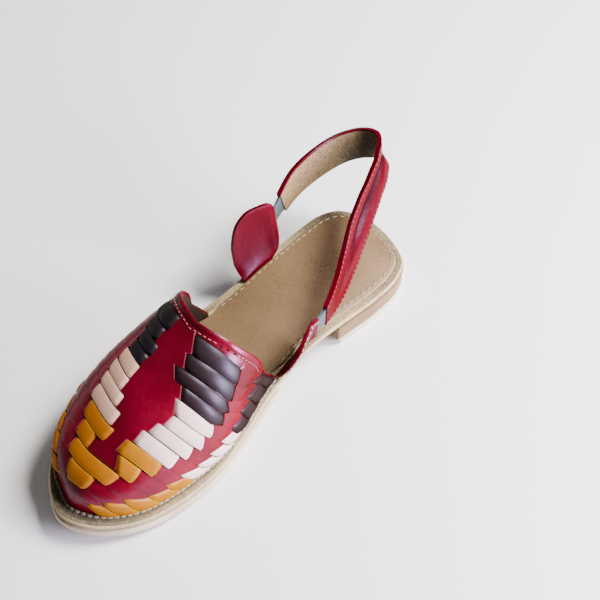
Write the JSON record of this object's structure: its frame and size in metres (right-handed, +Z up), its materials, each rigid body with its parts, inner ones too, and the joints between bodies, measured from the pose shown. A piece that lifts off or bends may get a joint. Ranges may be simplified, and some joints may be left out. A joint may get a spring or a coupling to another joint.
{
  "type": "huarache sandal",
  "caption": "Woven leather huarache sandal for the right foot, closed toe, open throat, slingback heel strap and low heel.",
  "frame": {"origin": "middle of the shoe's bounding box, on the floor it stands on", "axes": "+X to the toe, +Y to the medial side, +Z up"},
  "size_m": [0.266, 0.1008, 0.0673],
  "materials": {
    "red_leather": "waxed, semi gloss",
    "sole_tan": "matt, fine texture",
    "heel_tan": "matt",
    "rim_tan": "matt",
    "footbed_tan": "matt",
    "dark_elastic": "ribbed"
  },
  "bodies": {
    "root": {"forefoot_outsole": "sole_tan", "heel_lift": "sole_tan", "heel_block": "heel_tan", "midsole": "rim_tan", "insole": "footbed_tan", "woven_upper": "red_leather", "heel_strap": "red_leather", "side_tab_lateral": "red_leather", "side_tab_medial": "red_leather", "elastic_lateral": "dark_elastic", "elastic_medial": "dark_elastic"}
  },
  "joints": []
}
